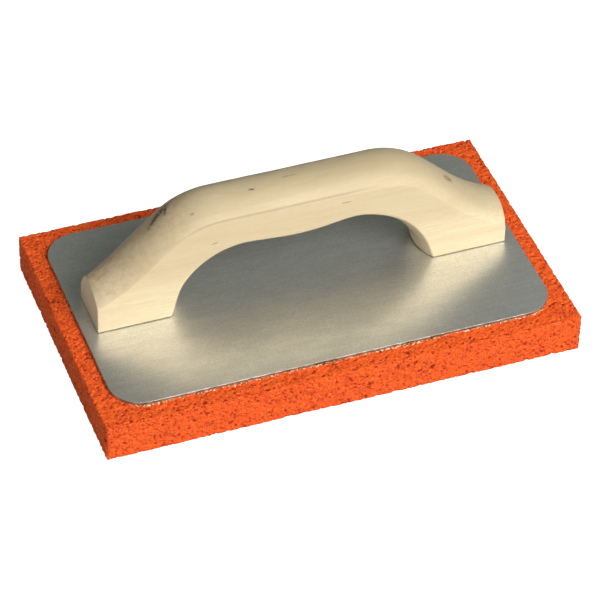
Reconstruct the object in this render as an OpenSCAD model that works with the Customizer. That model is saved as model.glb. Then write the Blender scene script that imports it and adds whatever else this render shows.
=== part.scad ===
// Sponge rubber hand float: a glued sponge pad under a thin metal plate,
// with an arched wooden handle screwed on from below the plate.
// Millimetres. The origin is the middle of the pad's working face, +Z is up
// and +X runs along the float.

/* [Sponge pad] */
// Length of the sponge pad
pad_l = 255.4; // [245:0.2:300]
// Width of the sponge pad
pad_w = 153.6; // [140:0.2:180]
// Thickness of the sponge pad
pad_t = 21.6; // [12:0.1:30]
// Radius of the pad's upright corners
pad_corner_r = 1.5; // [1:0.5:6]

/* [Adhesive] */
// Thickness of the contact adhesive between the pad and the plate
film_t = 0.2; // [0.1:0.05:0.5]
// How far the adhesive stops short of the plate's edge
film_inset = 0.4; // [0.2:0.1:2]

/* [Backing plate] */
// Length of the plate
plate_l = 236.4; // [226:0.2:242]
// Width of the plate
plate_w = 134.8; // [100:0.2:136]
// Thickness of the sheet
plate_t = 1.6; // [1.2:0.1:1.9]
// Radius of the plate's corners
plate_corner_r = 17; // [5:1:40]
// Sideways offset of the plate from the middle of the pad
plate_shift_y = 0.8; // [0:0.1:2]

/* [Handle] */
// Length over the two feet
handle_l = 222.8; // [200:0.2:225]
// Thickness of the board that the handle is cut from
handle_w = 30; // [24:0.5:36]
// Height of the grip above the plate
handle_h = 63.2; // [58:0.1:70]
// Sideways offset of the handle from the middle of the pad
handle_shift_y = 4.4; // [0:0.1:8]
// Length of the straight stretch on top of the grip
grip_flat_l = 85; // [60:1:100]
// Radius of the shoulder where the grip turns down
shoulder_r = 46; // [35:1:60]
// Steepness of the slope between the shoulder and the foot
slope_angle = 42.5; // [38:0.5:48]
// Length of the straight part of that slope
slope_l = 22; // [5:1:28]
// Radius of the hollow that runs out above each foot
sweep_r = 85; // [60:1:120]
// How far the rounded back drops from the middle to each face
crown_drop = 5.8; // [2:0.1:7]

/* [Finger opening] */
// Width of the opening along the plate, at the handle's faces
opening_l = 143.4; // [130:0.2:150]
// Height of the opening above the plate, at the handle's faces
opening_h = 39.3; // [36:0.1:44]
// Lean of the opening's sides
opening_lean = 16.4; // [5:0.2:20]
// Radius between a side and the underside of the grip
opening_corner_r = 42; // [30:1:42]
// How far the rounded inner wall stands into the opening halfway through
opening_bulge = 5.1; // [1:0.1:6]

/* [Screws] */
// Overall length of a screw
screw_l = 19; // [14:0.5:22]
// Radius of the countersunk head
screw_head_r = 3.55; // [3.4:0.05:4]
// Radius of the plain shank and of the thread's crests
screw_shank_r = 1.75; // [1.5:0.05:1.75]
// Radius at the thread's root
screw_root_r = 1.2; // [1:0.05:1.4]
// Distance from one thread ridge to the next
screw_pitch = 1.4; // [1:0.1:2]
// Distance between the two screws of one foot
screw_spacing = 20; // [14:1:22]
// Distance from the middle of the float to the middle of a foot's screws
screw_foot_x = 91; // [89:1:93]

/* [Hidden] */
$fn = 64;
plate_z = pad_t + film_t;
handle_z = plate_z + plate_t;
grip_z = handle_z + handle_h;
half_l = handle_l / 2;
half_w = handle_w / 2;
arc_steps = 12;
layer_steps = 8;
end_overrun = 6;
face_overrun = 1;
cut_depth = 3;
head_rim = 0.15;
head_play = 0.05;
shank_l = 6;
tip_l = 3;
thread_count = floor((screw_l - shank_l - tip_l) / screw_pitch);
recess_w = 0.9;
recess_l = 4;
recess_depth = 1.1;

// Drop of a circular arc at distance t from its middle, where it drops by sag at half
function arc_drop(t, sag, half) =
    let (r = (half * half + sag * sag) / (2 * sag)) r - sqrt(r * r - t * t);

// Right half of the handle's back, from the grip outwards, moved inwards by d
slope_start = [grip_flat_l / 2 + shoulder_r * sin(slope_angle),
    grip_z - shoulder_r * (1 - cos(slope_angle))];
slope_end = slope_start + slope_l * [cos(slope_angle), -sin(slope_angle)];
sweep_centre = slope_end + sweep_r * [sin(slope_angle), cos(slope_angle)];
run_out_angle = asin((sweep_centre[0] - half_l - end_overrun) / sweep_r);
function back_half(d) = concat(
    [for (i = [0:arc_steps]) let (a = slope_angle * i / arc_steps)
        [grip_flat_l / 2 + (shoulder_r - d) * sin(a), grip_z - shoulder_r + (shoulder_r - d) * cos(a)]],
    [for (i = [0:arc_steps]) let (a = slope_angle + (run_out_angle - slope_angle) * i / arc_steps)
        sweep_centre - (sweep_r + d) * [sin(a), cos(a)]]);

// Right half of the finger opening, from the grip down to below the foot, made smaller by d
opening_centre_z = handle_z + opening_h - opening_corner_r;
opening_centre_x = opening_l / 2
    - (opening_corner_r + sin(opening_lean) * (opening_centre_z - handle_z)) / cos(opening_lean);
function opening_half(d) = concat(
    [for (i = [0:arc_steps]) let (a = 90 - (90 - opening_lean) * i / arc_steps)
        [opening_centre_x, opening_centre_z] + (opening_corner_r - d) * [cos(a), sin(a)]],
    [[opening_l / 2 - d / cos(opening_lean) + cut_depth * tan(opening_lean), handle_z - cut_depth]]);

// A whole outline from its right half: over from the left foot to the right
function both_halves(half) = concat(
    [for (i = [len(half) - 1:-1:0]) [-half[i][0], half[i][1]]], half);
function at_y(outline, y) = [for (p = outline) [p[0], y, p[1]]];

// Places of the layers through the board's thickness, closer together near its faces
function layer_t(i) = half_w * sin(90 * i / layer_steps);

// Closed solid through a row of outlines, each mirrored about X = 0, with equal point counts
module loft(layers) {
    n = len(layers[0]);
    last = len(layers) - 1;
    rungs = [for (i = [0:n / 2 - 2]) [i, i + 1, n - 2 - i, n - 1 - i]];
    sides = [for (j = [0:last - 1], i = [0:n - 1]) [j * n + i, j * n + (i + 1) % n]];
    polyhedron(
        points = [for (layer = layers, p = layer) p],
        faces = concat(
            rungs,
            [for (r = rungs) [for (i = [3:-1:0]) last * n + r[i]]],
            [for (s = sides) [s[0], s[1] + n, s[1]]],
            [for (s = sides) [s[0], s[0] + n, s[1] + n]]));
}

module handle_body() {
    foot_x = half_l + end_overrun / 2;
    loft([for (i = [-layer_steps:layer_steps])
        let (t = layer_t(i), half = back_half(arc_drop(t, crown_drop, half_w)))
        at_y(both_halves(concat(half, [[foot_x, handle_z]])), t)]);
}

module finger_opening() {
    faces_y = half_w + face_overrun;
    loft(concat(
        [at_y(both_halves(opening_half(0)), -faces_y)],
        [for (i = [-layer_steps:layer_steps])
            let (t = layer_t(i), d = opening_bulge - arc_drop(t, opening_bulge, half_w))
            at_y(both_halves(opening_half(d)), t)],
        [at_y(both_halves(opening_half(0)), faces_y)]));
}

module rounded_slab(l, w, t, r) {
    translate([-l / 2 + r, -w / 2, 0]) cube([l - 2 * r, w, t]);
    translate([-l / 2, -w / 2 + r, 0]) cube([l, w - 2 * r, t]);
    for (x = [-1, 1], y = [-1, 1])
        translate([x * (l / 2 - r), y * (w / 2 - r), 0]) cylinder(h = t, r = r);
}

// Screw with its point up: head, plain shank, ridged thread and point
module screw_shape() {
    cone_top = head_rim + screw_head_r - screw_shank_r;
    ridges = [for (i = [0:thread_count - 1], part = [0, 1])
        [part == 0 ? screw_root_r : screw_shank_r, shank_l + (i + (part + 1) / 2) * screw_pitch]];
    rotate_extrude() polygon(concat(
        [[0, 0], [screw_head_r, 0], [screw_head_r, head_rim], [screw_shank_r, cone_top],
            [screw_shank_r, shank_l]],
        ridges,
        [[screw_root_r, screw_l - tip_l], [0, screw_l]]));
}

module plate_hole() {
    top_r = screw_head_r + head_play + head_rim - plate_t;
    rotate_extrude() polygon([
        [0, -1], [screw_head_r + head_play, -1], [screw_head_r + head_play, head_rim],
        [top_r, plate_t], [top_r, plate_t + 1], [0, plate_t + 1]]);
}

module screw_at(side, place) {
    translate([side * screw_foot_x + place * screw_spacing / 2, handle_shift_y, plate_z]) children();
}

module at_every_screw() {
    for (side = [-1, 1], place = [-1, 1]) screw_at(side, place) children();
}

module screw() {
    color("silver") difference() {
        screw_shape();
        for (turn = [0, 90])
            rotate(turn) translate([-recess_l / 2, -recess_w / 2, -1])
                cube([recess_l, recess_w, 1 + recess_depth]);
    }
}

module sponge_pad() {
    color("orangered") rounded_slab(pad_l, pad_w, pad_t, pad_corner_r);
}

module adhesive_film() {
    color("khaki") translate([0, plate_shift_y, pad_t])
        rounded_slab(plate_l - 2 * film_inset, plate_w - 2 * film_inset, film_t,
            plate_corner_r - film_inset);
}

module backing_plate() {
    color("darkgray") difference() {
        translate([0, plate_shift_y, plate_z]) rounded_slab(plate_l, plate_w, plate_t, plate_corner_r);
        at_every_screw() plate_hole();
    }
}

module handle() {
    color("wheat") difference() {
        translate([0, handle_shift_y, 0]) intersection() {
            handle_body();
            translate([-half_l, -handle_w, 0]) cube([handle_l, 2 * handle_w, grip_z + 1]);
        }
        translate([0, handle_shift_y, 0]) finger_opening();
        at_every_screw() screw_shape();
    }
}

sponge_pad();
adhesive_film();
backing_plate();
handle();
screw_at(-1, -1) screw();  // screw_left_outer
screw_at(-1, 1) screw();  // screw_left_inner
screw_at(1, -1) screw();  // screw_right_inner
screw_at(1, 1) screw();  // screw_right_outer
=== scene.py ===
import math

import bmesh
import bpy
import numpy as np
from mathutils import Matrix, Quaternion, Vector, kdtree, noise


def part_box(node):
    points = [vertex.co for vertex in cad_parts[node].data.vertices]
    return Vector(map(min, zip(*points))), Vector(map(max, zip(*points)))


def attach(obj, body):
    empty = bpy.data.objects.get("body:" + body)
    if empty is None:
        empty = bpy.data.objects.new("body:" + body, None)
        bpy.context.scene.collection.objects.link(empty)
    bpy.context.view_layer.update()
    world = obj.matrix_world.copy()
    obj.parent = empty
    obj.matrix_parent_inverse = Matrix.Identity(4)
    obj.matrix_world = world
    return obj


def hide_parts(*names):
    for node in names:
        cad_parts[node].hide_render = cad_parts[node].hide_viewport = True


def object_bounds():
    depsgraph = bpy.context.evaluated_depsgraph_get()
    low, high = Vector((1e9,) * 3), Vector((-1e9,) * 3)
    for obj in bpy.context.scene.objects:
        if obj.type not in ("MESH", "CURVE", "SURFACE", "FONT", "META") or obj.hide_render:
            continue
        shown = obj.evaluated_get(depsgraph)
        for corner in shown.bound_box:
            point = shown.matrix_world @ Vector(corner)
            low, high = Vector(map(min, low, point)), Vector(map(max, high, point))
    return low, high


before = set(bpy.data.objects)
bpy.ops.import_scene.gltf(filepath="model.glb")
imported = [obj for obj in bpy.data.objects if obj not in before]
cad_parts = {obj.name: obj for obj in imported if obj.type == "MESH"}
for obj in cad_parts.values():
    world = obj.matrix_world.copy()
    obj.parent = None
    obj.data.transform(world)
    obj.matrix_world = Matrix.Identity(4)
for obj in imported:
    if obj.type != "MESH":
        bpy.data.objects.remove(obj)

cadLow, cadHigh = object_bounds()
middle = (cadLow + cadHigh) / 2


# camera, floor and lights

cameraView = {
    "azimuth": -20.88,  # degrees, 0 looks along +Y
    "elevation": 41.77,
    "roll": 1.4,
    "distance": 1.694,
    "aim": (-0.0084, -0.0270, 0.0306),
    "lens": 199.65,
    "sensorWidth": 36.0,
    "clip": (0.05, 60.0),
}

stageLook = {
    "floorSize": 9.0,
    "floorColour": (0.48, 0.48, 0.47),
    "floorPaler": 1.03,
    "floorGrain": 40.0,
    "floorRoughness": 0.9,
    "floorGlow": 0.95,
    "floorBounce": 0.22,  # the glow that reaches the object
    "skyLow": (0.085, 0.090, 0.077),  # seen by the metal from behind
    "skyFront": (0.42, 0.42, 0.41),
    "skySeen": (1.0, 1.0, 1.0),
    "skyBlend": (0.45, -0.6),  # where the sky turns from low to front, along Y
    # name, azimuth, elevation, distance, size, power, colour
    "lights": (
        ("keyLight", 17, 40, 1.7, 0.9, 32.0, (1.0, 0.99, 0.97)),
        ("fillLight", -35, 45, 2.2, 1.4, 4.0, (1.0, 1.0, 1.0)),
        ("sideLight", 116, 38, 0.85, 0.55, 0.27, (1.0, 1.0, 1.0)),
    ),
}


def directionFrom(azimuth, elevation):
    a, e = math.radians(azimuth), math.radians(elevation)
    return Vector((math.sin(a) * math.cos(e), -math.cos(a) * math.cos(e), math.sin(e)))


def link(obj):
    bpy.context.scene.collection.objects.link(obj)
    return obj


def makeCamera():
    camera = link(bpy.data.objects.new("camera", bpy.data.cameras.new("camera")))
    back = directionFrom(cameraView["azimuth"], cameraView["elevation"])
    camera.location = Vector(cameraView["aim"]) + back * cameraView["distance"]
    camera.rotation_mode = "QUATERNION"
    roll = Quaternion((0, 0, 1), math.radians(cameraView["roll"]))
    camera.rotation_quaternion = (-back).to_track_quat("-Z", "Y") @ roll
    camera.data.lens = cameraView["lens"]
    camera.data.sensor_width = cameraView["sensorWidth"]
    camera.data.clip_start, camera.data.clip_end = cameraView["clip"]
    bpy.context.scene.camera = camera


def areaLight(name, azimuth, elevation, distance, size, power, colour):
    light = bpy.data.lights.new(name, "AREA")
    light.shape, light.size, light.energy, light.color = "DISK", size, power, colour
    obj = link(bpy.data.objects.new(name, light))
    back = directionFrom(azimuth, elevation)
    obj.location = middle + back * distance
    obj.rotation_mode = "QUATERNION"
    obj.rotation_quaternion = (-back).to_track_quat("-Z", "Y")


# small helpers for node trees

def newTree(name):
    material = bpy.data.materials.new(name)
    material.use_nodes = True
    tree = material.node_tree
    return material, tree, tree.nodes["Principled BSDF"]


def node(tree, kind, settings=None, **inputs):
    # inputs go by their names with _ for a space, or by number as in0, in1
    made = tree.nodes.new("ShaderNode" + kind)
    for key, value in (settings or {}).items():
        setattr(made, key, value)
    for key, value in inputs.items():
        name = key.replace("_", " ")
        numbered = name.startswith("in") and name[2:].isdigit()
        socket = made.inputs[int(name[2:]) if numbered else name]
        if isinstance(value, bpy.types.NodeSocket):
            tree.links.new(value, socket)
        else:
            socket.default_value = value
    return made


def objectPlace(tree):
    return node(tree, "TexCoord").outputs["Object"]


def stretched(tree, place, scale, at=(0, 0, 0), turn=(0, 0, 0)):
    return node(tree, "Mapping", {"vector_type": "TEXTURE"}, Vector=place, Location=at, Rotation=turn,
                Scale=scale).outputs[0]


def noisePattern(tree, place, scale, detail=3.0, roughness=0.5, distortion=0.0):
    return node(tree, "TexNoise", None, Vector=place, Scale=scale, Detail=detail, Roughness=roughness,
                Distortion=distortion).outputs["Fac"]


def mapped(tree, value, fromLow, fromHigh, toLow=0.0, toHigh=1.0):
    # value taken from one range to another with soft ends
    settings = {"interpolation_type": "SMOOTHSTEP", "clamp": True}
    made = node(tree, "MapRange", settings, Value=value)
    for key, number in zip(("From Min", "From Max", "To Min", "To Max"), (fromLow, fromHigh, toLow, toHigh)):
        made.inputs[key].default_value = number
    return made.outputs["Result"]


def maths(tree, operation, a, b=0.0):
    made = node(tree, "Math", {"operation": operation})
    for socket, value in zip(made.inputs, (a, b)):
        if isinstance(value, bpy.types.NodeSocket):
            tree.links.new(value, socket)
        else:
            socket.default_value = value
    return made.outputs[0]


def mixed(tree, share, a, b, blend="MIX"):
    # the node's colour version uses its first, seventh and eighth inputs
    made = node(tree, "Mix", {"data_type": "RGBA", "blend_type": blend, "clamp_factor": True})
    for index, value in ((0, share), (6, a), (7, b)):
        if isinstance(value, bpy.types.NodeSocket):
            tree.links.new(value, made.inputs[index])
        else:
            made.inputs[index].default_value = value if index == 0 else (*value, 1.0)
    return made.outputs[2]


def bumped(tree, shader, *layers):
    # each layer is height, strength, distance
    normal = None
    for height, strength, distance in layers:
        bump = node(tree, "Bump", None, Height=height, Strength=strength, Distance=distance)
        if normal is not None:
            tree.links.new(normal, bump.inputs["Normal"])
        normal = bump.outputs[0]
    tree.links.new(normal, shader.inputs["Normal"])


def makeStage():
    bm = bmesh.new()
    bmesh.ops.create_grid(bm, x_segments=1, y_segments=1, size=1)
    half = stageLook["floorSize"] / 2
    bmesh.ops.scale(bm, vec=(half, half, 1), verts=bm.verts)
    floor = finishMesh(bm, "floor")
    material, tree, shader = newTree("paleFloor")
    grain = noisePattern(tree, objectPlace(tree), stageLook["floorGrain"])
    colour = stageLook["floorColour"]
    paler = tuple(c * stageLook["floorPaler"] for c in colour)
    tree.links.new(mixed(tree, grain, colour, paler), shader.inputs["Base Color"])
    shader.inputs["Roughness"].default_value = stageLook["floorRoughness"]
    shader.inputs["Specular IOR Level"].default_value = 0.0
    shader.inputs["Emission Color"].default_value = (1, 1, 1, 1)
    seen = node(tree, "LightPath").outputs["Is Camera Ray"]
    glow = mapped(tree, seen, 0.0, 1.0, stageLook["floorBounce"], stageLook["floorGlow"])
    tree.links.new(glow, shader.inputs["Emission Strength"])
    floor.data.materials.append(material)

    world = bpy.data.worlds.new("studio")
    bpy.context.scene.world = world
    world.use_nodes = True
    tree = world.node_tree
    background = tree.nodes["Background"]
    direction = node(tree, "TexCoord").outputs["Generated"]
    split = node(tree, "SeparateXYZ", None, Vector=direction)
    front = mapped(tree, split.outputs["Y"], *stageLook["skyBlend"])
    light = mixed(tree, front, stageLook["skyLow"], stageLook["skyFront"])
    seen = node(tree, "LightPath").outputs["Is Camera Ray"]
    tree.links.new(mixed(tree, seen, light, stageLook["skySeen"]), background.inputs["Color"])
    for light in stageLook["lights"]:
        areaLight(*light)
    view = bpy.context.scene.view_settings
    view.view_transform, view.look = "Standard", "None"


def finishMesh(bm, name, sharpAngle=None):
    mesh = bpy.data.meshes.new(name)
    if sharpAngle is not None:
        for face in bm.faces:
            face.smooth = True
        for edge in bm.edges:
            if len(edge.link_faces) == 2 and edge.calc_face_angle(0) > math.radians(sharpAngle):
                edge.smooth = False
    bm.to_mesh(mesh)
    bm.free()
    return link(bpy.data.objects.new(name, mesh))


makeCamera()
makeStage()
print("stage ready")


# shared making steps

def bakeModifiers(obj):
    depsgraph = bpy.context.evaluated_depsgraph_get()
    mesh = bpy.data.meshes.new_from_object(obj.evaluated_get(depsgraph))
    obj.modifiers.clear()
    obj.data = mesh


def roundedSheet(low, high, radius, segments):
    # flat sheet at height low.z with rounded corners
    bm = bmesh.new()
    bmesh.ops.create_grid(bm, x_segments=1, y_segments=1, size=0.5)
    bmesh.ops.scale(bm, vec=(high.x - low.x, high.y - low.y, 1), verts=bm.verts)
    bmesh.ops.translate(bm, vec=((low.x + high.x) / 2, (low.y + high.y) / 2, low.z), verts=bm.verts)
    bmesh.ops.bevel(bm, geom=list(bm.verts), offset=radius, segments=segments, profile=0.5,
                    affect="VERTICES", material=-1)
    return bm


def thicken(bm, height):
    made = bmesh.ops.extrude_face_region(bm, geom=list(bm.faces), use_keep_orig=True)["geom"]
    bmesh.ops.translate(bm, vec=(0, 0, height), verts=[g for g in made if isinstance(g, bmesh.types.BMVert)])
    bmesh.ops.recalc_face_normals(bm, faces=bm.faces)


def pointsOf(mesh):
    places = np.zeros(len(mesh.vertices) * 3)
    mesh.vertices.foreach_get("co", places)
    return places.reshape(-1, 3)


def noiseAt(places, scale, shift=0.0):
    # gradient noise, about -1 to 1, at each place
    return np.array([noise.noise(Vector((x * scale + shift, y * scale, z * scale))) for x, y, z in places])


def eased(x):
    x = np.clip(x, 0, 1)
    return x * x * (3 - 2 * x)


# sponge pad

padShape = {
    "cell": 0.0005,  # spacing of the surface points
    "rim": 0.014,  # width of the finely made margin on top, which runs under the plate
    "cornerRadius": 0.0018,
    "edgeRounding": 0.0008,
    "swell": (0.00035, 22.0),  # depth and scale of the slow unevenness
    "lumps": (0.00110, 290.0),
    "grit": (0.00080, 560.0),
    "seed": 7,
    "deepest": 0.0021,
    "fullShadeDepth": 0.0009,  # from this depth on a pore has its darkest painted shade
    "slack": 1e-6,
    # pores: how many on a square centimetre, smallest and largest radius
    "pores": ((24.0, 0.00040, 0.00060), (6.5, 0.00056, 0.00080), (0.22, 0.0009, 0.0012)),
    # a few big pores on the front: x, z, radius
    "bigPores": ((0.0452, 0.0112, 0.0017), (0.0382, 0.0108, 0.0013), (0.0118, 0.0098, 0.0012),
                 (-0.0625, 0.0062, 0.0011)),
}


def padBlank(lo, hi):
    size = hi - lo
    steps = [max(2, round(s / padShape["cell"])) for s in size]
    bm = bmesh.new()
    for level in (lo.z, hi.z):
        made = bmesh.ops.create_grid(bm, x_segments=steps[0], y_segments=steps[1], size=0.5)["verts"]
        span = max(v.co.x for v in made) - min(v.co.x for v in made)
        bmesh.ops.scale(bm, vec=(size.x / span, size.y / span, 1), verts=made)
        bmesh.ops.translate(bm, vec=((lo.x + hi.x) / 2, (lo.y + hi.y) / 2, level), verts=made)
    inner = Vector((size.x / 2 - padShape["rim"], size.y / 2 - padShape["rim"]))
    hidden = []
    for face in bm.faces:
        place = face.calc_center_median()
        if place.z > hi.z - padShape["slack"] and abs(place.x) < inner.x and abs(place.y) < inner.y:
            hidden.append(face)
    bmesh.ops.delete(bm, geom=hidden, context="FACES")
    reach = inner + Vector((padShape["cell"], padShape["cell"])) * 2
    hole = [e for e in bm.edges if e.is_boundary and e.verts[0].co.z > hi.z - padShape["slack"]
            and all(abs(v.co.x) < reach.x and abs(v.co.y) < reach.y for v in e.verts)]
    bmesh.ops.contextual_create(bm, geom=hole)
    loop = [e for e in bm.edges if e.is_boundary and e.verts[0].co.z < lo.z + padShape["slack"]]
    rise = size.z / steps[2]
    for _ in range(steps[2]):
        made = bmesh.ops.extrude_edge_only(bm, edges=loop)["geom"]
        loop = [g for g in made if isinstance(g, bmesh.types.BMEdge)]
        raised = [g for g in made if isinstance(g, bmesh.types.BMVert)]
        bmesh.ops.translate(bm, vec=(0, 0, rise), verts=raised)
    seam = [v for v in bm.verts if v.co.z > hi.z - rise / 2 and v.is_boundary]
    bmesh.ops.remove_doubles(bm, verts=seam, dist=rise / 4)
    bmesh.ops.recalc_face_normals(bm, faces=bm.faces)
    return bm


def padSides(lo, hi):
    for axis in range(3):
        for sign, level in ((-1, lo[axis]), (1, hi[axis])):
            inward = np.zeros(3)
            inward[axis] = -sign
            yield axis, level, inward


def padPores(axis, level, inward, lo, hi, rng):
    # centre and radius of every pore on one side
    across = [a for a in range(3) if a != axis]
    span = [hi[a] - lo[a] for a in across]
    for perSquareCm, smallest, largest in padShape["pores"]:
        for u, v, s, d in rng.random((int(perSquareCm * span[0] * span[1] * 1e4), 4)):
            radius = smallest + (largest - smallest) * s
            centre = inward * radius * (d - 0.45) * 0.8
            centre[across[0]] = lo[across[0]] + u * span[0]
            centre[across[1]] = lo[across[1]] + v * span[1]
            centre[axis] += level
            yield centre, radius
    if axis == 1 and level < 0:
        for x, z, radius in padShape["bigPores"]:
            for _ in range(4):
                dx, dy, dz = (rng.random(3) - 0.5) * radius * (1.3, 0.7, 0.9)
                yield np.array((x + dx, level + radius * 0.25 + dy, z + dz)), radius * 0.75


def carvePores(places, lo, hi, rng):
    pushed = np.zeros_like(places)
    depth = np.zeros(len(places))
    for axis, level, inward in padSides(lo, hi):
        own = np.flatnonzero(np.abs(places[:, axis] - level) < padShape["slack"])
        tree = kdtree.KDTree(len(own))
        for i, k in enumerate(own):
            tree.insert(places[k], i)
        tree.balance()
        for centre, radius in padPores(axis, level, inward, lo, hi, rng):
            for _, i, _ in tree.find_range(centre, radius):
                k = own[i]
                offset = places[k] - centre
                along = float(offset @ inward)
                lateral = radius * radius - float(offset @ offset) + along * along
                push = min(math.sqrt(max(lateral, 0.0)) - along, padShape["deepest"])
                depth[k] = max(depth[k], push)
                held = float(pushed[k] @ inward)
                if push > held:
                    pushed[k] += inward * (push - held)
    return pushed, depth


def roundPad(places, lo, hi):
    # upright corners first, then the long edges
    for axes, radius in (((0, 1), padShape["cornerRadius"]), ((0, 2), padShape["edgeRounding"]),
                         ((1, 2), padShape["edgeRounding"])):
        centre = np.array([(lo[a] + hi[a]) / 2 for a in axes])
        half = np.array([(hi[a] - lo[a]) / 2 for a in axes]) - radius
        flat = places[:, axes] - centre
        over = np.abs(flat) - half
        corner = np.flatnonzero((over > 0).all(1))
        fit = over[corner].max(1) / np.hypot(over[corner, 0], over[corner, 1])
        flat[corner] = np.sign(flat[corner]) * (half + over[corner] * fit[:, None])
        places[:, axes] = flat + centre


def makePad():
    lo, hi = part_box("sponge_pad")
    pad = finishMesh(padBlank(lo, hi), "spongePad")
    mesh = pad.data
    places = pointsOf(mesh)
    rng = np.random.default_rng(padShape["seed"])
    pushed, depth = carvePores(places, lo, hi, rng)
    slack = padShape["slack"]
    inwards = (np.abs(places - np.array(lo)) < slack).astype(float) - (np.abs(places - np.array(hi)) < slack)
    unevenness = np.zeros(len(places))
    for key, shift in (("swell", 0.0), ("lumps", 3.1), ("grit", 7.7)):
        amount, scale = padShape[key]
        unevenness += amount * np.clip(noiseAt(places, scale, shift) - 0.05, 0, 1)
    roundPad(places, lo, hi)
    places = places + pushed + inwards * unevenness[:, None]
    mesh.vertices.foreach_set("co", places.ravel())
    # the pore depth, kept for the painted shade in the pores
    poreShade = mesh.attributes.new("poreShade", "FLOAT", "POINT")
    poreShade.data.foreach_set("value", np.clip(depth / padShape["fullShadeDepth"], 0, 1).astype(np.float32))
    mesh.shade_smooth()
    mesh.update()
    mesh.materials.append(spongeMaterial())
    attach(pad, "root")
    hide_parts("sponge_pad")
    print("sponge pad ready:", len(places), "points")


spongeLook = {
    "orange": (0.72, 0.090, 0.010),
    "redder": (0.66, 0.072, 0.009),
    # paler: the colour of the painted highlight specks
    "paler": (0.84, 0.17, 0.030),
    # pit: the painted shade in the pores and the small cells
    "poreShade": (0.30, 0.016, 0.005),
    "skinLift": 1.10,  # painted light: how much paler the top is made than the cut sides, to even out the shade between them
    "skinHeights": (0.0192, 0.0212),
    "patchScale": 90.0,
    "speckHighlightScale": 900.0,
    "cellScale": 760.0,
    "fineScale": 2600.0,
    "speckHighlightShare": 0.7,
    "cellShadeShare": 0.42,
    "poreShadeShare": 0.88,
    "roughness": 0.85,
    "specular": 0.25,
}


def spongeMaterial():
    material, tree, shader = newTree("spongeRubber")
    place = objectPlace(tree)
    patches = mapped(tree, noisePattern(tree, place, spongeLook["patchScale"], 3.0, 0.6), 0.35, 0.68)
    colour = mixed(tree, patches, spongeLook["orange"], spongeLook["redder"])
    # painted highlight: paler specks for the lit ridges of the cells
    highlightSpecks = mapped(tree, noisePattern(tree, place, spongeLook["speckHighlightScale"], 2.0), 0.50, 0.68)
    share = maths(tree, "MULTIPLY", highlightSpecks, spongeLook["speckHighlightShare"])
    colour = mixed(tree, share, colour, spongeLook["paler"])
    # painted light: the top is made paler over these heights, so it matches the sides
    height = node(tree, "SeparateXYZ", None, Vector=place).outputs["Z"]
    skin = mapped(tree, height, *spongeLook["skinHeights"], 1.0, spongeLook["skinLift"])
    colour = scaledColour(tree, colour, skin)

    # small cells of different sizes between the pores of the mesh, darkened with painted pore shade
    cells = node(tree, "TexVoronoi", {"feature": "F1"}, Vector=place, Scale=spongeLook["cellScale"])
    chance = node(tree, "SeparateColor", None, Color=cells.outputs["Color"]).outputs[0]
    size = mapped(tree, chance, 0.2, 1.0, 0.10, 0.50)
    small = mapped(tree, maths(tree, "SUBTRACT", size, cells.outputs["Distance"]), -0.02, 0.16)
    share = maths(tree, "MULTIPLY", small, spongeLook["cellShadeShare"])
    colour = mixed(tree, share, colour, spongeLook["poreShade"])
    # painted shade in the pores, darker the deeper they are carved
    poreShade = node(tree, "Attribute", {"attribute_name": "poreShade"}).outputs["Fac"]
    share = mapped(tree, poreShade, 0.15, 0.8, 0.0, spongeLook["poreShadeShare"])
    colour = mixed(tree, share, colour, spongeLook["poreShade"])
    tree.links.new(colour, shader.inputs["Base Color"])
    shader.inputs["Roughness"].default_value = spongeLook["roughness"]
    shader.inputs["Specular IOR Level"].default_value = spongeLook["specular"]
    fine = noisePattern(tree, place, spongeLook["fineScale"], 2.0)
    bumped(tree, shader, (maths(tree, "MULTIPLY", small, -1.0), 0.7, 0.0004), (fine, 0.4, 0.00015))
    return material


# backing plate

plateShape = {
    "cornerRadius": 0.017,
    "cornerSegments": 28,
    "edgeRounding": 0.00018,
    "holeLow": 0.0036,  # countersink radius at the underside
    "holeHigh": 0.00215,
    "holeRim": 0.00015,
    "holeOverrun": 0.001,
    "holeSteps": 40,
}


def holeCutter(places, low, high):
    bm = bmesh.new()
    spare, wide, narrow = (plateShape[key] for key in ("holeOverrun", "holeLow", "holeHigh"))
    profile = ((0, low - spare), (wide, low - spare), (wide, low + plateShape["holeRim"]), (narrow, high),
               (narrow, high + spare), (0, high + spare))
    for x, y in places:
        line = [bm.verts.new((x + r, y, z)) for r, z in profile]
        edges = [bm.edges.new(pair) for pair in zip(line, line[1:])]
        bmesh.ops.spin(bm, geom=line + edges, cent=(x, y, 0), axis=(0, 0, 1), angle=math.tau,
                       steps=plateShape["holeSteps"], use_merge=True)
    bmesh.ops.remove_doubles(bm, verts=bm.verts, dist=1e-6)
    bmesh.ops.recalc_face_normals(bm, faces=bm.faces)
    return finishMesh(bm, "holeCutter")


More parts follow.
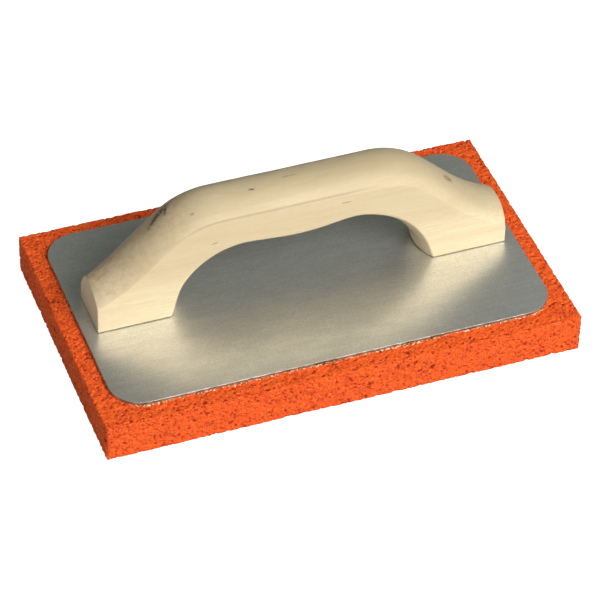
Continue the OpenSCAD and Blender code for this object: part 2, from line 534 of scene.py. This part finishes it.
def makePlate():
    lo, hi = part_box("backing_plate")
    bm = roundedSheet(lo, hi, plateShape["cornerRadius"], plateShape["cornerSegments"])
    thicken(bm, hi.z - lo.z)
    rim = [e for e in bm.edges if abs(e.verts[0].co.z - e.verts[1].co.z) < 1e-7]
    bmesh.ops.bevel(bm, geom=rim, offset=plateShape["edgeRounding"], segments=3, profile=0.5,
                    affect="EDGES", material=-1)
    plate = finishMesh(bm, "backingPlate")
    centres = []
    for name in screwNames:
        a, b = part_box(name)
        centres.append(((a.x + b.x) / 2, (a.y + b.y) / 2))
    cutter = holeCutter(centres, lo.z, hi.z)
    cut = plate.modifiers.new("holes", "BOOLEAN")
    cut.operation, cut.object, cut.solver = "DIFFERENCE", cutter, "EXACT"
    bakeModifiers(plate)
    bpy.data.objects.remove(cutter)
    bm = bmesh.new()
    bm.from_mesh(plate.data)
    bmesh.ops.triangulate(bm, faces=[f for f in bm.faces if len(f.verts) > 4])
    for face in bm.faces:
        face.smooth = abs(face.normal.z) < 0.999
    bm.to_mesh(plate.data)
    bm.free()
    plate.data.materials.clear()
    plate.data.materials.append(plateMaterial())
    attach(plate, "root")
    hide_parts("backing_plate")
    print("backing plate ready:", len(plate.data.polygons), "faces")


plateLook = {
    "metal": (0.90, 0.915, 0.885),
    "duller": (0.80, 0.815, 0.785),
    "speck": (0.62, 0.635, 0.60),
    # edge: the colour of the painted shade on the cut edge
    "edge": (0.26, 0.21, 0.15),
    "roughness": (0.315, 0.345),
    "metallic": 0.86,
    "anisotropy": 0.35,
    # lengths of the patterns along X, Y and Z
    "streaks": (0.06, 0.0011, 0.01),
    "mottle": (0.014, 0.006, 0.01),
    "speckle": (0.0009, 0.0005, 0.001),
    "flecks": (0.0007, 0.0004, 0.001),
    "waveScale": 16.0,
    "gapShadeScale": 160.0,
}


def plateMaterial():
    material, tree, shader = newTree("plateMetal")
    place = objectPlace(tree)
    streaks = noisePattern(tree, stretched(tree, place, plateLook["streaks"]), 1.0, 4.0, 0.6)
    mottle = noisePattern(tree, stretched(tree, place, plateLook["mottle"]), 1.0, 4.0, 0.6)
    both = maths(tree, "ADD", maths(tree, "MULTIPLY", streaks, 0.45), maths(tree, "MULTIPLY", mottle, 0.55))
    colour = mixed(tree, mapped(tree, both, 0.38, 0.62), plateLook["metal"], plateLook["duller"])
    speckle = noisePattern(tree, stretched(tree, place, plateLook["speckle"]), 1.0, 2.0, 0.7)
    colour = mixed(tree, mapped(tree, speckle, 0.40, 0.64, 0.0, 0.55), colour, plateLook["speck"])

    # painted shade on the cut edge, where the gap between plate and pad lies in shadow, patchy by noise
    normal = node(tree, "NewGeometry").outputs["Normal"]
    upward = node(tree, "SeparateXYZ", None, Vector=normal).outputs["Z"]
    gapShade = noisePattern(tree, place, plateLook["gapShadeScale"], 4.0, 0.7)
    gapShade = mapped(tree, gapShade, 0.40, 0.60, 0.45, 0.95)
    share = maths(tree, "MULTIPLY", mapped(tree, upward, 0.97, 0.75), gapShade)
    colour = mixed(tree, share, colour, plateLook["edge"])
    tree.links.new(colour, shader.inputs["Base Color"])
    shader.inputs["Metallic"].default_value = plateLook["metallic"]
    roughness = mapped(tree, both, 0.40, 0.64, *plateLook["roughness"])
    tree.links.new(roughness, shader.inputs["Roughness"])
    shader.inputs["Anisotropic"].default_value = plateLook["anisotropy"]
    # a radial tangent about Y runs along X all over a sheet that lies flat
    alongX = node(tree, "Tangent", {"direction_type": "RADIAL", "axis": "Y"})
    tree.links.new(alongX.outputs[0], shader.inputs["Tangent"])
    flecks = noisePattern(tree, stretched(tree, place, plateLook["flecks"]), 1.0, 2.0)
    waves = noisePattern(tree, place, plateLook["waveScale"], 2.0)
    bumped(tree, shader, (waves, 0.05, 0.0010), (flecks, 0.06, 0.00008))
    return material


# adhesive

glueShape = {
    "spacing": 0.0006,
    "cornerRadius": 0.0166,
    "plateInset": 0.0004,
    "frontMost": 0.00120,  # how far the squeezed-out lumps stand out along the front edge
    "elsewhere": 0.00035,
    "rise": 0.0013,
    "sink": 0.0009,
    "cornerSegments": 30,
    "overlap": 0.0001,  # how much less than the plate's inset the least lip stands out
    "lumpScale": 620.0,
    "patchScale": 45.0,
}


def makeGlue():
    lo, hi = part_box("adhesive_film")
    bm = roundedSheet(lo, hi, glueShape["cornerRadius"], glueShape["cornerSegments"])
    straight = [e for e in bm.edges if e.calc_length() > glueShape["cornerRadius"]]
    for edge in straight:
        cuts = int(edge.calc_length() / glueShape["spacing"])
        bmesh.ops.subdivide_edges(bm, edges=[edge], cuts=cuts)
    thicken(bm, hi.z - lo.z)
    rim = [f for f in bm.faces if abs(f.normal.z) < 0.5]
    made = bmesh.ops.extrude_face_region(bm, geom=rim)["geom"]
    lip = [g for g in made if isinstance(g, bmesh.types.BMVert)]
    centreY = (lo.y + hi.y) / 2
    straightX = (hi.x - lo.x) / 2 - glueShape["cornerRadius"]
    straightY = (hi.y - lo.y) / 2 - glueShape["cornerRadius"]
    for vert in lip:
        x, y = vert.co.x, vert.co.y
        out = Vector((max(abs(x) - straightX, 0) * math.copysign(1, x),
                      max(abs(y - centreY) - straightY, 0) * math.copysign(1, y - centreY)))
        out.normalize()
        front = max(0.0, -out.y) ** 2
        most = glueShape["elsewhere"] + (glueShape["frontMost"] - glueShape["elsewhere"]) * front
        spot = Vector((x * glueShape["lumpScale"], y * glueShape["lumpScale"], 2.0))
        wide = Vector((x * glueShape["patchScale"], y * glueShape["patchScale"], 5.0))
        lump = max(0.0, noise.noise(spot) * 1.3 + noise.noise(wide) * 0.7 + 0.25 * front)
        reach = glueShape["plateInset"] - glueShape["overlap"] + most * min(lump * 1.6, 1.0)
        upper = vert.co.z > (lo.z + hi.z) / 2
        vert.co.x += out.x * reach
        vert.co.y += out.y * reach
        vert.co.z += min(lump * 1.5, 1.0) * glueShape["rise"] * front if upper else -glueShape["sink"]
    bmesh.ops.recalc_face_normals(bm, faces=bm.faces)
    glue = finishMesh(bm, "adhesive", sharpAngle=60)
    glue.data.materials.append(glueMaterial())
    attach(glue, "root")
    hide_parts("adhesive_film")
    print("adhesive ready:", len(glue.data.polygons), "faces")


glueLook = {
    "cream": (0.86, 0.76, 0.56),
    "amber": (0.60, 0.22, 0.06),
    "brown": (0.13, 0.055, 0.02),
    "scales": (1100.0, 760.0),
    "roughness": 0.45,
}


def glueMaterial():
    material, tree, shader = newTree("driedAdhesive")
    place = objectPlace(tree)
    first, second = (noisePattern(tree, place, scale, 2.0) for scale in glueLook["scales"])
    colour = mixed(tree, mapped(tree, first, 0.42, 0.52), glueLook["brown"], glueLook["amber"])
    colour = mixed(tree, mapped(tree, second, 0.52, 0.60), colour, glueLook["cream"])
    tree.links.new(colour, shader.inputs["Base Color"])
    shader.inputs["Roughness"].default_value = glueLook["roughness"]
    bumped(tree, shader, (first, 0.5, 0.0003))
    return material


# handle

handleShape = {
    "gripFlat": 0.085,  # straight stretch on top of the grip
    "shoulderRadius": 0.046,
    "slopeAngle": 42.5,
    "slopeLength": 0.022,
    "sweepRadius": 0.085,
    "lastSlope": 18,  # slope in degrees at which the sweep has passed the end of the foot
    "crownDrop": 0.0058,
    "openingHalf": 0.0717,
    "openingHeight": 0.0393,
    "openingLean": 16.4,
    "openingRadius": 0.042,
    "openingBulge": 0.0051,
    "archShift": -0.0013,  # the arch sits a little to the left of the feet
    "leftEnd": -0.1110,
    "rightEnd": 0.1119,
    "leftBackDrop": 0.0085,  # extra rounding of the left foot's upper back corner
    "rightFrontDrop": 0.0030,
    # how far and how deep the crease between a face and the back is rounded, at the left
    # and at the right, and the places along X where the first starts to turn into the second and has done so
    "creaseRounding": ((0.0130, 0.0012), (0.0055, 0.0024)),
    "creaseTurn": (-0.03, 0.06),
    # the grip's underside isn't quite straight: middle, half-width and depth of each swelling
    "underside": ((-0.0040, 0.0205, 0.0023), (0.0260, 0.0120, -0.0011)),
    "endSteps": 14,
    "halfSteps": 96,
    "faceRows": (0.0, 0.08, 0.28, 0.5, 0.72, 0.92, 1.0),
    "layers": 32,
    "edgeRounding": 0.0006,
    "sharpFrom": 24,  # degrees between two faces
    "unevenness": 0.00012,
    "unevenScales": (45, 160),
    "raisedFrom": 0.004,  # height over the feet's undersides where the unevenness is whole
}


def arcDrop(t, sag, half):
    radius = (half * half + sag * sag) / (2 * sag)
    return radius - math.sqrt(radius * radius - t * t)


def backLine(top):
    # right half of the handle's back as rows of x, z, inward x, inward z, from the middle outwards
    grip, radius = handleShape["gripFlat"] / 2, handleShape["shoulderRadius"]
    sweep, lastSlope = handleShape["sweepRadius"], math.radians(handleShape["lastSlope"])
    steepest = math.radians(handleShape["slopeAngle"])
    rows = [(grip * s, top, 0.0, -1.0) for s in np.linspace(0, 1, 30, endpoint=False)]
    for a in np.linspace(0, steepest, 40):
        x, z = grip + radius * math.sin(a), top - radius + radius * math.cos(a)
        rows.append((x, z, -math.sin(a), -math.cos(a)))
    along = Vector((math.cos(steepest), -math.sin(steepest)))
    start = Vector(rows[-1][:2])
    for s in np.linspace(0.05, 1, 16):
        point = start + along * handleShape["slopeLength"] * s
        rows.append((point.x, point.y, -math.sin(steepest), -math.cos(steepest)))
    centre = Vector(rows[-1][:2]) + Vector((math.sin(steepest), math.cos(steepest))) * sweep
    for a in np.linspace(steepest, lastSlope, 50)[1:]:
        x, z = centre.x - sweep * math.sin(a), centre.y - sweep * math.cos(a)
        rows.append((x, z, -math.sin(a), -math.cos(a)))
    return np.array(rows)


def openingLine(foot, drop):
    # right half of the finger opening's outline, drop inside the one at the handle's faces
    lean, radius = math.radians(handleShape["openingLean"]), handleShape["openingRadius"]
    centreZ = foot + handleShape["openingHeight"] - radius
    centreX = handleShape["openingHalf"] - (radius + math.sin(lean) * (centreZ - foot)) / math.cos(lean)
    rows = [(centreX * s, centreZ + radius - drop) for s in np.linspace(0, 1, 20, endpoint=False)]
    for a in np.linspace(math.pi / 2, lean, 60):
        rows.append((centreX + (radius - drop) * math.cos(a), centreZ + (radius - drop) * math.sin(a)))
    rows.append((handleShape["openingHalf"] - drop / math.cos(lean), foot))
    return np.array(rows)


def spread(line, count):
    # count + 1 points evenly along a line
    lengths = np.concatenate(([0], np.cumsum(np.hypot(*np.diff(line, axis=0).T))))
    at = np.linspace(0, lengths[-1], count + 1)
    return np.stack([np.interp(at, lengths, line[:, 0]), np.interp(at, lengths, line[:, 1])], 1)


def outlineHalf(side, t, half, foot, top):
    # outer and inner points of one layer, from the middle of the grip to the underside of one foot
    raised = lambda z: eased((z - foot) / 0.025) * handleShape["archShift"]
    back = backLine(top)
    turnStart, turnEnd = handleShape["creaseTurn"]
    share = eased((side * back[:, 0] - turnStart) / (turnEnd - turnStart))
    (leftWide, leftDeep), (rightWide, rightDeep) = handleShape["creaseRounding"]
    wide = leftWide + (rightWide - leftWide) * share
    deep = leftDeep + (rightDeep - leftDeep) * share
    nearFace = np.clip(1 - (half - abs(t)) / wide, 0, 1)
    drop = arcDrop(t, handleShape["crownDrop"], half) + deep * nearFace ** 3
    x = side * (back[:, 0] + back[:, 2] * drop)
    z = back[:, 1] + back[:, 3] * drop
    x = x + raised(z)
    if side < 0:
        z = z - handleShape["leftBackDrop"] * max(0.0, t / half) ** 3 * eased((-x - 0.088) / 0.026)
        end = handleShape["leftEnd"]
    else:
        z = z - handleShape["rightFrontDrop"] * max(0.0, -t / half) ** 3 * eased((x - 0.095) / 0.018)
        end = handleShape["rightEnd"]
    reach = side * x
    last = int(np.argmax(reach > side * end))
    part = (side * end - reach[last - 1]) / (reach[last] - reach[last - 1])
    corner = (end, z[last - 1] + (z[last] - z[last - 1]) * part)
    line = np.concatenate((np.stack([x[:last], z[:last]], 1), [corner]))
    endSteps = handleShape["endSteps"]
    outer = spread(line, handleShape["halfSteps"] - endSteps)
    column = [(end, corner[1] + (foot - corner[1]) * s) for s in np.linspace(0, 1, endSteps + 1)[1:]]
    outer = np.concatenate((outer, column))
    bulge = handleShape["openingBulge"]
    inner = openingLine(foot, bulge - arcDrop(t, bulge, half))
    inner = np.stack([side * inner[:, 0] + raised(inner[:, 1]), inner[:, 1]], 1)
    inner = spread(inner, handleShape["halfSteps"])
    for at, wide, deep in handleShape["underside"]:
        inner[:, 1] -= deep * np.exp(-((inner[:, 0] - at) / wide) ** 2)
    return outer, inner


def makeHandle():
    lo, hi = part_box("handle")
    half, centreY = (hi.y - lo.y) / 2, (hi.y + lo.y) / 2
    rows = handleShape["faceRows"]
    stations, layers = 2 * handleShape["halfSteps"], handleShape["layers"]
    bm = bmesh.new()
    bmesh.ops.create_grid(bm, x_segments=stations, y_segments=len(rows) - 1, size=0.5)
    low, high = min(v.co.x for v in bm.verts), max(v.co.x for v in bm.verts)
    bmesh.ops.translate(bm, vec=(-low, -low, 0), verts=bm.verts)
    span = high - low
    bmesh.ops.scale(bm, vec=(stations / span, (len(rows) - 1) / span, 1), verts=bm.verts)
    thicken(bm, layers)
    upright = [e for e in bm.edges if abs(e.verts[0].co.z - e.verts[1].co.z) > 0.5]
    bmesh.ops.subdivide_edges(bm, edges=upright, cuts=layers - 1, use_grid_fill=True)

    # each layer of the block takes its outline; it is kept far above the rest until all are done
    aside = 1000
    for k in range(layers + 1):
        t = -half + 2 * half * k / layers
        left, right = (outlineHalf(side, t, half, lo.z, hi.z) for side in (-1, 1))
        outer = np.concatenate((left[0][::-1], right[0][1:]))
        inner = np.concatenate((left[1][::-1], right[1][1:]))
        for vert in bm.verts:
            if round(vert.co.z) == k and not vert.tag:
                vert.tag = True
                i, j = round(vert.co.x), rows[round(vert.co.y)]
                x, z = inner[i] * (1 - j) + outer[i] * j
                vert.co = (x, centreY + t, z + aside)
    bmesh.ops.translate(bm, vec=(0, 0, -aside), verts=bm.verts)
    bmesh.ops.recalc_face_normals(bm, faces=bm.faces)
    sharp = [e for e in bm.edges if e.calc_face_angle(0) > math.radians(handleShape["sharpFrom"])]
    bmesh.ops.bevel(bm, geom=sharp, offset=handleShape["edgeRounding"], segments=3, profile=0.5,
                    affect="EDGES", material=-1)
    bm.normal_update()
    coarse, fine = handleShape["unevenScales"]
    for vert in bm.verts:
        wave = noise.noise(vert.co * coarse) + 0.5 * noise.noise(vert.co * fine) - 0.9
        share = min(1.0, max(0.0, (vert.co.z - lo.z) / handleShape["raisedFrom"]))
        vert.co += vert.normal * (handleShape["unevenness"] * wave) * share
    handle = finishMesh(bm, "woodenHandle", sharpAngle=60)
    handle.data.materials.append(woodMaterial())
    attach(handle, "root")
    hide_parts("handle")
    print("handle ready:", len(handle.data.polygons), "faces")


woodLook = {
    "pale": (0.70, 0.60, 0.405),
    "warm": (0.645, 0.525, 0.33),
    "line": (0.56, 0.41, 0.24),
    # dirt: real dirt on the upward faces, also used for painted shade on the downward faces and higher up
    # the handle
    "dirtAndShade": (0.46, 0.37, 0.225),
    # stain: real stains, also used for the painted shade of the crease groove
    "stain": (0.36, 0.25, 0.16),
    "endGrain": (0.62, 0.53, 0.375),
    # dark: the cracks, and the painted shadow along the feet's bottoms
    "dark": (0.055, 0.035, 0.022),
    "knot": (0.16, 0.095, 0.045),
    # shade: the painted shadow on the right foot's inner side
    "shade": (0.08, 0.065, 0.045),
    "raggedScale": 900.0,
    # lengths of the grain's patterns along X, Y and Z
    "broad": (0.11, 0.012, 0.010),
    "lines": (0.055, 0.0024, 0.0018),
    "fibres": (0.010, 0.0010, 0.0010),
    "flecks": (0.0045, 0.0005, 0.0005),
    "cloud": (0.028, 0.007, 0.007),
    "endStreaks": (0.02, 0.0030, 0.016),
    "stainScale": 260.0,
    "roughness": (0.48, 0.62),
    "specular": 0.3,
    # darker marks: place, half-lengths along the mark, across and through, turn about Y, strength
    "marks": (
        ((-0.0253, 0.0010, 0.0863), (0.0024, 0.0009, 0.0014), 0, 0.95),
        ((-0.0483, -0.0106, 0.0663), (0.0034, 0.0011, 0.0007), -8, 0.50),
        ((-0.0580, -0.0035, 0.0823), (0.0034, 0.0009, 0.0014), 18, 0.50),
        ((-0.0040, 0.0050, 0.0866), (0.0060, 0.0009, 0.0012), 0, 0.42),
        ((0.0218, -0.0106, 0.0742), (0.0045, 0.0012, 0.0007), 0, 0.45),
        ((0.0822, 0.0008, 0.0655), (0.0050, 0.0030, 0.0026), 41, 0.80),
        ((0.0868, -0.0024, 0.0622), (0.0040, 0.0022, 0.0022), 41, 0.60),
        ((0.1051, -0.0096, 0.0428), (0.0026, 0.0010, 0.0012), 30, 0.15),
    ),
    # the split on the left shoulder, its two branches and the grey round them: as above,
    # with a turn about Z too
    "cracks": (
        ((-0.0722, 0.0089, 0.0751), (0.0130, 0.0020, 0.0040), -42, 28, 0.97),
        ((-0.0690, 0.0072, 0.0776), (0.0056, 0.0010, 0.0030), -36, 70, 0.85),
        ((-0.0730, 0.0080, 0.0745), (0.0150, 0.0052, 0.0060), -42, 25, 0.30),
    ),
}


def scaledColour(tree, colour, factor):
    # colour times a number, socket or plain
    grey = node(tree, "CombineColor", None, Red=factor, Green=factor, Blue=factor).outputs[0]
    return mixed(tree, 1.0, colour, grey, blend="MULTIPLY")


def markMask(tree, place, at, halves, turnY, turnZ=0):
    turn = (0, math.radians(turnY), math.radians(turnZ))
    length = node(tree, "VectorMath", {"operation": "LENGTH"}, in0=stretched(tree, place, halves, at, turn))
    return mapped(tree, length.outputs["Value"], 1.0, 0.35)


def woodGrain(tree, place, lines, fibres):
    broad = noisePattern(tree, stretched(tree, place, woodLook["broad"]), 1.0, 3.0, 0.55, 0.4)
    flecks = noisePattern(tree, stretched(tree, place, woodLook["flecks"], at=(0.3, 0.1, 0)), 1.0, 1.0)
    colour = mixed(tree, mapped(tree, broad, 0.35, 0.70), woodLook["pale"], woodLook["warm"])
    for pattern, low, high, share in ((lines, 0.50, 0.72, 0.32), (flecks, 0.52, 0.78, 0.44),
                                      (fibres, 0.42, 0.66, 0.32)):
        dark = maths(tree, "MULTIPLY", mapped(tree, pattern, low, high), share)
        colour = mixed(tree, dark, colour, woodLook["line"])
    return colour


def woodUse(tree, place, parts, facing, colour):
    # the back and the grip are greyer than the fronts of the feet, from dirt on the upward faces and from
    # painted shade that grows with height, and the left slope is stained
    x, y, z = (parts.outputs[axis] for axis in "XYZ")
    onTop = mapped(tree, facing.outputs["Z"], 0.25, 0.95)
    cloud = noisePattern(tree, stretched(tree, place, woodLook["cloud"]), 1.0, 5.0, 0.65, 0.5)
    cloud = mapped(tree, cloud, 0.30, 0.70, 0.06, 0.50)
    colour = mixed(tree, maths(tree, "MULTIPLY", onTop, cloud), colour, woodLook["dirtAndShade"])
    # painted shade: darker with height, standing in for the plate's bounce light on the low feet
    colour = mixed(tree, mapped(tree, z, 0.034, 0.062, 0.0, 0.50), colour, woodLook["dirtAndShade"])
    # painted shade on the faces that look down, under the grip and inside the opening
    downwardShade = mapped(tree, facing.outputs["Z"], -0.05, -0.30, 0.0, 0.60)
    colour = mixed(tree, downwardShade, colour, woodLook["dirtAndShade"])
    rightSlope = maths(tree, "MULTIPLY", mapped(tree, x, 0.030, 0.075, 0.0, 0.42), onTop)
    colour = mixed(tree, rightSlope, colour, woodLook["dirtAndShade"])

    leftSlope = maths(tree, "MULTIPLY", mapped(tree, x, -0.050, -0.072), onTop)
    stain = noisePattern(tree, place, woodLook["stainScale"], 5.0, 0.7, 0.5)
    stain = mapped(tree, stain, 0.38, 0.68, 0.10, 0.62)
    stain = maths(tree, "ADD", stain, mapped(tree, y, 0.000, 0.016, 0.0, 0.50))
    colour = mixed(tree, maths(tree, "MULTIPLY", leftSlope, stain), colour, woodLook["stain"])

    # painted shadow on the right foot's inner side, darker towards the back
    wallShadow = maths(tree, "MULTIPLY", mapped(tree, facing.outputs["X"], -0.20, -0.60),
                 mapped(tree, x, 0.045, 0.055))
    wallShadow = maths(tree, "MULTIPLY", wallShadow, mapped(tree, y, -0.009, 0.006, 0.0, 0.85))
    colour = mixed(tree, wallShadow, colour, woodLook["shade"])
    # painted shadow along the bottom of the feet, just above the plate
    return mixed(tree, mapped(tree, z, 0.0241, 0.0235, 0.0, 0.8), colour, woodLook["dark"])


def creaseGrooveShade(tree, parts, colour):
    # painted shade of the small groove the cutter left where the grip's rounding starts: straight, then
    # round the shoulder
    x, y, z = (parts.outputs[axis] for axis in "XYZ")
    radius = handleShape["shoulderRadius"] - handleShape["crownDrop"] - handleShape["creaseRounding"][0][1]
    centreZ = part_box("handle")[1].z - handleShape["shoulderRadius"]
    fromMiddle = maths(tree, "ABSOLUTE", maths(tree, "SUBTRACT", x, handleShape["archShift"]))
    arm = maths(tree, "MAXIMUM", maths(tree, "SUBTRACT", fromMiddle, handleShape["gripFlat"] / 2), 0.0)
    rise = maths(tree, "SUBTRACT", z, centreZ)
    away = maths(tree, "SQRT", maths(tree, "ADD", maths(tree, "MULTIPLY", arm, arm),
                                     maths(tree, "MULTIPLY", rise, rise)))
    line = mapped(tree, maths(tree, "ABSOLUTE", maths(tree, "SUBTRACT", away, radius)), 0.0009, 0.0001)
    for axis, low, high in ((y, -0.0086, -0.0098), (x, 0.050, 0.015), (x, -0.075, -0.050)):
        line = maths(tree, "MULTIPLY", line, mapped(tree, axis, low, high))
    return mixed(tree, maths(tree, "MULTIPLY", line, 0.6), colour, woodLook["stain"])


def endGrain(tree, place, facing, colour):
    endFace = mapped(tree, maths(tree, "ABSOLUTE", facing.outputs["X"]), 0.86, 0.97)
    slanted = stretched(tree, place, woodLook["endStreaks"], turn=(math.radians(35), 0, 0))
    streaks = mapped(tree, noisePattern(tree, slanted, 1.0, 3.0), 0.42, 0.72, 0.0, 0.6)
    return mixed(tree, endFace, colour, mixed(tree, streaks, woodLook["endGrain"], woodLook["warm"]))


def woodMarks(tree, place, colour):
    raggedness = mapped(tree, noisePattern(tree, place, woodLook["raggedScale"], 3.0), 0.30, 0.55)
    for kind, tint in (("marks", "knot"), ("cracks", "dark")):
        for *shape, strength in woodLook[kind]:
            mask = maths(tree, "MULTIPLY", markMask(tree, place, *shape), strength)
            colour = mixed(tree, maths(tree, "MULTIPLY", mask, raggedness), colour, woodLook[tint])
    return colour


def woodMaterial():
    material, tree, shader = newTree("handleWood")
    place = objectPlace(tree)
    parts = node(tree, "SeparateXYZ", None, Vector=place)
    facing = node(tree, "SeparateXYZ", None, Vector=node(tree, "NewGeometry").outputs["Normal"])
    lines = noisePattern(tree, stretched(tree, place, woodLook["lines"]), 1.0, 4.0, 0.65, 0.9)
    fibres = noisePattern(tree, stretched(tree, place, woodLook["fibres"]), 1.0, 4.0, 0.75)
    colour = woodGrain(tree, place, lines, fibres)
    colour = woodUse(tree, place, parts, facing, colour)
    colour = creaseGrooveShade(tree, parts, colour)
    colour = endGrain(tree, place, facing, colour)
    colour = woodMarks(tree, place, colour)
    tree.links.new(colour, shader.inputs["Base Color"])
    tree.links.new(mapped(tree, lines, 0.3, 0.7, *woodLook["roughness"]), shader.inputs["Roughness"])
    shader.inputs["Specular IOR Level"].default_value = woodLook["specular"]
    bumped(tree, shader, (fibres, 0.30, 0.00012), (lines, 0.12, 0.0002))
    return material


# screws

screwNames = [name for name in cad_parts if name.startswith("screw")]

screwLook = {
    "zinc": (0.66, 0.65, 0.60),
    "tarnish": (0.42, 0.40, 0.36),
    "roughness": (0.28, 0.5),
    "cloudScale": 700.0,
}


def makeScrews():
    material, tree, shader = newTree("zincSteel")
    place = objectPlace(tree)
    cloud = noisePattern(tree, place, screwLook["cloudScale"], 3.0)
    colour = mixed(tree, mapped(tree, cloud, 0.45, 0.7), screwLook["zinc"], screwLook["tarnish"])
    tree.links.new(colour, shader.inputs["Base Color"])
    roughness = mapped(tree, cloud, 0.3, 0.7, *screwLook["roughness"])
    tree.links.new(roughness, shader.inputs["Roughness"])
    shader.inputs["Metallic"].default_value = 1.0
    bumped(tree, shader, (cloud, 0.3, 0.00005))
    for name in screwNames:
        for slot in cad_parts[name].material_slots:
            slot.material = material
    print("screws ready:", len(screwNames))


makePad()
makePlate()
makeGlue()
makeHandle()
makeScrews()
